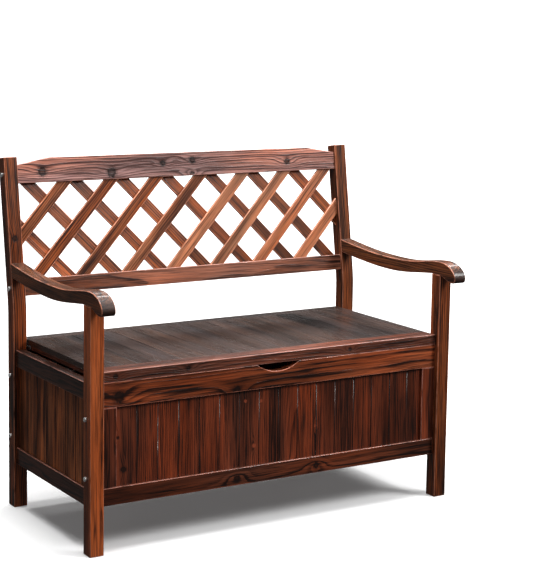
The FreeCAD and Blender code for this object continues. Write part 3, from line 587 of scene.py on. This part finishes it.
# The left side faces away from the key light, so its boards are painted lighter than the others:
# painted light that makes up for its shade
painted_light_side_wood = wood("painted_light_side_wood", (0.85, 0.23, 0.08), BURNT, gloss=0.42, coat=0.1)
side_rail_wood = wood("side_rail_wood", RED_BROWN, BURNT, gloss=0.34, coat=0.4)
front_wood = wood(
    "front_board_wood", (0.26, 0.061, 0.028), BURNT, spacing=0.0052, gloss=0.34, coat=0.4,
    flame=0.6, edge_highlight_and_wear=0.9, knot_grain=(0, 0, 1),
    knots=knots_on(
        "front_planks", (0.029, 0.21, 0.0075), (0.012, 0.60, 0.004),
        (0.40, 0.84, 0.0035, KNOT_RED), (0.43, 0.27, 0.0045, KNOT_RED),
        (0.45, 0.82, 0.0035, KNOT_RED), (0.63, 0.41, 0.0035, KNOT_RED),
    ),
)
rail_wood = wood(
    "front_rail_wood", (0.40, 0.094, 0.034), BURNT, spacing=0.011, flame=0.75, edge_highlight_and_wear=1.0,
    knots=knots_on("front_rail_top", (0.046, 0.38, 0.014), (0.377, 0.06, 0.011)),
)
low_rail_wood = wood(
    "bottom_rail_wood", RED_BROWN, BURNT, flame=0.3, wander=0.02,
    knots=knots_on("front_rail_bottom", (0.62, 0.45, 0.008), (0.38, 0.4, 0.009)),
)
crest_wood = wood(
    "crest_wood", PINK_BROWN, (0.075, 0.030, 0.025), spacing=0.006, gloss=0.3, flame=0.3,
    knots=knots_on(
        "backrest_rail_top", (0.071, 0.46, 0.012), (0.274, 0.31, 0.013), (0.432, 0.58, 0.008),
        (0.525, 0.66, 0.009), (0.522, 0.12, 0.007), (0.836, 0.46, 0.009),
    ),
)
low_back_wood = wood("backrest_low_wood", (0.34, 0.118, 0.068), BURNT, spacing=0.009, flame=0.4)
slat_wood = wood(
    "slat_wood", TAN, (0.05, 0.014, 0.008), spacing=0.0052, flame=0.3, wander=0.006, edge_highlight_and_wear=1.0,
)
lid_wood = wood(
    "lid_wood", GREY_BROWN, (0.016, 0.010, 0.009), spacing=0.007, gloss=0.30, flame=0.35,
)
lid_edge_wood = wood(
    "lid_edge_wood", (0.26, 0.080, 0.047), BURNT, spacing=0.007,
    knots=knots_on("lid_front_board", (0.235, 0.5, 0.006), (0.72, 0.5, 0.005), (0.035, 0.5, 0.006)),
)
inner_wood = wood("inner_wood", RED_BROWN, BURNT, gloss=0.5, coat=0.1)
beech = wood(
    "dowel_beech", (0.55, 0.38, 0.22), (0.3, 0.18, 0.1), spacing=0.003, gloss=0.5, coat=0.0,
)
zinc = metal("bolt_zinc", (0.90, 0.90, 0.88), 0.30, metallic=0.25)
steel = metal("hinge_steel", (0.58, 0.58, 0.57), 0.34, BRUSHED_MARKS)
strut_paint = metal("strut_grey", (0.60, 0.61, 0.62), 0.36, metallic=0.6)
chrome = metal("strut_chrome", (0.82, 0.82, 0.83), 0.16)
plastic = metal("strut_plastic", (0.03, 0.03, 0.032), 0.48, metallic=0.0)


# ---------------------------------------------------------------- pieces

SIDES = ("left", "right")

# (lightness, warmth, strength of the dark streaks), from left to right, and on the sides from
# front to rear
FRONT_BOARD_TONES = (
    (0.90, 0.60, 0.70), (1.60, 1.00, 0.55), (1.15, 0.80, 0.75), (1.25, 0.90, 0.65),
    (1.00, 0.70, 0.85), (0.85, 0.60, 0.80), (1.05, 0.75, 0.65), (0.60, 0.45, 0.90),
    (0.55, 0.40, 0.90), (0.95, 0.55, 0.70), (1.35, 0.95, 0.65), (0.75, 0.30, 0.75),
    (0.62, 0.20, 0.90), (0.50, 0.00, 0.90), (0.60, 0.10, 0.85), (1.45, 0.85, 0.50),
)
RISING_SLAT_TONES = (
    (0.50, 0.45, 1.00), (0.68, 0.80, 0.90), (0.62, 0.70, 0.90), (0.66, 0.30, 0.85),
    (1.15, 0.15, 0.55), (1.20, 0.10, 0.50), (0.90, 0.50, 0.75), (1.20, 0.40, 0.45),
)
FALLING_SLAT_TONES = (
    (0.74, 0.85, 0.85), (0.66, 0.90, 0.90), (0.60, 0.90, 0.90), (0.50, 0.80, 1.00),
    (0.62, 0.95, 0.85), (0.60, 0.90, 0.90), (0.50, 0.80, 0.95), (0.60, 0.90, 0.90),
)
SIDE_BOARD_TONES = (
    (0.90, 0.55, 0.85), (1.50, 0.90, 0.60), (1.10, 0.70, 0.75), (1.40, 0.90, 0.65),
    (0.80, 0.60, 0.85), (1.50, 1.00, 0.60), (1.35, 0.95, 0.65), (1.30, 0.90, 0.65),
)
POST_TONES = {              # front post, rear post
    "left": ((1.45, 0.65, 0.60), (0.80, 0.65, 0.85)),
    "right": ((0.74, 0.45, 0.75), (0.75, 0.40, 0.85)),
}
LID_PLANK_TONES = ((1.0, 0.4, 0.55), (0.75, 0.5, 0.65), (1.25, 0.35, 0.5), (0.9, 0.6, 0.6))


def lean_of(node):
    """The angle of a slat from upright, seen from the front: its run over its climb."""
    low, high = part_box("lattice_front_slats")
    climb = (high.z - low.z) / math.cos(RAKE_ANGLE)
    direction = 1 if node == "lattice_front_slats" else -1
    return math.atan2(SLAT_RUN, climb - 2 * SLAT_LET_IN) * direction


def make_frame():
    for side in SIDES:
        front_tone, rear_tone = POST_TONES[side]
        wooden(f"post_front_{side}", post_wood, tones=(front_tone,), spread=0.0)
        wooden(f"post_rear_{side}", post_wood, local=straighten_post,
               tones=(rear_tone,), spread=0.0)
        wooden(f"arm_{side}", post_wood, grain=Y, faces_only=X, arris=ARM_ARRIS,
               shortest=SHORTEST_ARM_EDGE, tones=((0.50, 0.15, 0.80),), pith=STRAIGHT_GRAIN)
        for place in ("top", "bottom"):
            wooden(f"side_rail_{place}_{side}", side_rail_wood, grain=Y,
                   faces_only=X, tones=((0.32, 0.1, 0.8),))
        # The left panel's boards get the lighter colour, painted light against the shade on that
        # side
        panel_wood = painted_light_side_wood if side == "left" else front_wood
        wooden(f"side_planks_{side}", panel_wood, tones=SIDE_BOARD_TONES,
               small_edge=JOINT_EDGE, small_edge_highlight_and_wear=JOINT_HIGHLIGHT_AND_WEAR)
        for place in ("front", "back"):
            wooden(f"{place}_stile_{side}", front_wood, faces_only=Y,
                   tones=((0.85, 0.6, 0.7),))


def make_box():
    wooden("front_rail_top", rail_wood, grain=X, faces_only=Y,
           tones=((0.86, 0.45, 0.68),), slope=0.02)
    wooden("front_rail_bottom", low_rail_wood, grain=X, faces_only=Y,
           tones=((0.52, 0.45, 0.85),))
    for place in ("top", "bottom"):
        wooden(f"back_rail_{place}", side_rail_wood, grain=X, faces_only=Y)
    wooden("front_planks", front_wood, tones=FRONT_BOARD_TONES,
           pith=((-1.6, 1.6), (0.02, 0.05)), small_edge=JOINT_EDGE, small_edge_highlight_and_wear=JOINT_HIGHLIGHT_AND_WEAR)
    wooden("back_planks", front_wood, tones=FRONT_BOARD_TONES[::-1])
    wooden("floor_boards", inner_wood, grain=Y)
    for place in ("front", "rear"):
        wooden(f"floor_cleat_{place}", inner_wood, grain=X)
    wooden("arm_dowels", beech)


def make_backrest():
    wooden("backrest_rail_top", crest_wood, local=unrake, grain=X, faces_only=Y,
           tones=((0.80, 0.25, 1.0),), slope=0.01)
    wooden("backrest_rail_bottom", low_back_wood, local=unrake, grain=X,
           faces_only=Y, tones=((0.8, 0.45, 0.8),), slope=0.03)
    for node, tones in (
        ("lattice_front_slats", RISING_SLAT_TONES), ("lattice_rear_slats", FALLING_SLAT_TONES),
    ):
        turn = Matrix.Rotation(-lean_of(node), 3, "Y")
        wooden(node, slat_wood, local=lambda co, turn=turn: turn @ unrake(co),
               faces_only=Y, arris=SLAT_ARRIS, tones=tones, spread=0.04, pith=STRAIGHT_GRAIN)


def make_lid():
    wooden("lid_planks", lid_wood, "lid", grain=Y, tones=LID_PLANK_TONES,
           small_edge=LID_JOINT_EDGE)
    wooden("lid_front_board", lid_edge_wood, "lid", grain=X, tones=((0.85, 0.5, 0.6),))
    wooden("lid_rear_board", lid_wood, "lid", grain=X)
    for place in ("left", "middle", "right"):
        wooden(f"lid_batten_{place}", inner_wood, "lid",
               grain=X if place == "middle" else Y)


def make_fittings():
    hinges = [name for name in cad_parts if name.startswith("hinge_") or "screws" in name]
    fitting(["frame_bolts", "barrel_nuts"], zinc, BOLT_RIM)
    fitting(hinges, steel, HINGE_RIM)
    fitting(["strut_tube", "strut_bracket_frame", "strut_bracket_lid"], strut_paint, STRUT_RIM)
    fitting(["strut_rod"], chrome, ROD_RIM)
    fitting(["strut_gland", "strut_piston", "strut_tube_socket", "strut_rod_socket"], plastic,
            STRUT_RIM)


# ---------------------------------------------------------------- studio

def make_stage():
    """A pale floor that curves up into a backdrop behind the bench."""
    front, back, bend, top, wide = -6.0, 4.0, 2.0, 7.0, 12.0
    outline = [(front, 0.0)]
    steps = 16
    for step in range(steps + 1):
        angle = math.pi / 2 * step / steps
        outline.append((back + bend * math.sin(angle), bend * (1 - math.cos(angle))))
    outline.append((back + bend, top))
    bm = bmesh.new()
    rows = [[bm.verts.new((x, y, z)) for x in (-wide, wide)] for y, z in outline]
    for low, high in zip(rows[:-1], rows[1:]):
        bm.faces.new((low[0], low[1], high[1], high[0])).smooth = True
    mesh = bpy.data.meshes.new("studio_floor")
    bm.to_mesh(mesh)
    bm.free()
    floor = in_scene("studio_floor", mesh)
    g = Graph("studio_floor")
    g.set(
        Base_Color=(0.93, 0.93, 0.93, 1), Roughness=0.9, Emission_Color=(1, 1, 1, 1),
        Emission_Strength=FLOOR_GLOW,
    )
    mesh.materials.append(g.material)
    floor.visible_diffuse = False
    floor.visible_glossy = False


def area_light(name, place, target, wide, high, power):
    """A soft box. Its wide side is level."""
    data = bpy.data.lights.new(name, "AREA")
    data.shape = "RECTANGLE"
    data.size = wide
    data.size_y = high
    data.energy = power
    light = in_scene(name, data)
    light.location = place
    light.rotation_mode = "QUATERNION"
    light.rotation_quaternion = (Vector(target) - Vector(place)).to_track_quat("-Z", "Y")
    light.visible_camera = False


def make_light():
    area_light("key", (2.6, -2.6, 3.2), BENCH_MIDDLE, 1.6, 1.6, 165)
    area_light("overhead", (-0.45, -0.1, 3.6), (-0.2, 0.0, 0), 2.2, 1.5, 185)
    area_light("top_edge", (2.2, 0.0, 3.3), (0.3, 0.0, 0.5), 4.5, 0.16, 26)
    area_light("rim", (0.4, 3.3, 2.7), BENCH_MIDDLE, 4.0, 0.5, 22)
    area_light("right_edge", (4.2, 2.5, 1.0), BENCH_MIDDLE, 1.0, 1.4, 7)
    area_light("left_edge", (-3.4, -2.3, 0.7), BENCH_MIDDLE, 1.6, 1.4, 9)
    area_light("backdrop", (4.0, 3.0, 5.0), (4.0, 6.0, 1.5), 5.0, 2.0, 650)
    world = bpy.data.worlds.new("studio")
    world.use_nodes = True
    background = world.node_tree.nodes["Background"]
    background.inputs["Color"].default_value = (1, 1, 1, 1)
    background.inputs["Strength"].default_value = WORLD_LIGHT
    bpy.context.scene.world = world
    bpy.context.scene.view_settings.view_transform = "Standard"


def make_camera():
    """The camera, from its yaw to the right of +Y, its pitch down and its roll."""
    forward = Vector((
        math.sin(CAMERA_YAW) * math.cos(CAMERA_PITCH),
        math.cos(CAMERA_YAW) * math.cos(CAMERA_PITCH),
        -math.sin(CAMERA_PITCH),
    ))
    level = Vector((math.cos(CAMERA_YAW), -math.sin(CAMERA_YAW), 0))
    upright = level.cross(forward)
    right = math.cos(CAMERA_ROLL) * level + math.sin(CAMERA_ROLL) * upright
    up = -math.sin(CAMERA_ROLL) * level + math.cos(CAMERA_ROLL) * upright
    data = bpy.data.cameras.new("camera")
    data.sensor_width = CAMERA_SENSOR
    data.lens = CAMERA_LENS
    data.shift_y = CAMERA_SHIFT_Y
    camera = in_scene("camera", data)
    camera.rotation_mode = "QUATERNION"
    camera.rotation_quaternion = Matrix((right, up, -forward)).transposed().to_quaternion()
    camera.location = CAMERA_PLACE
    bpy.context.scene.camera = camera


make_camera()
make_frame()
make_box()
make_backrest()
make_lid()
make_fittings()
make_stage()
make_light()
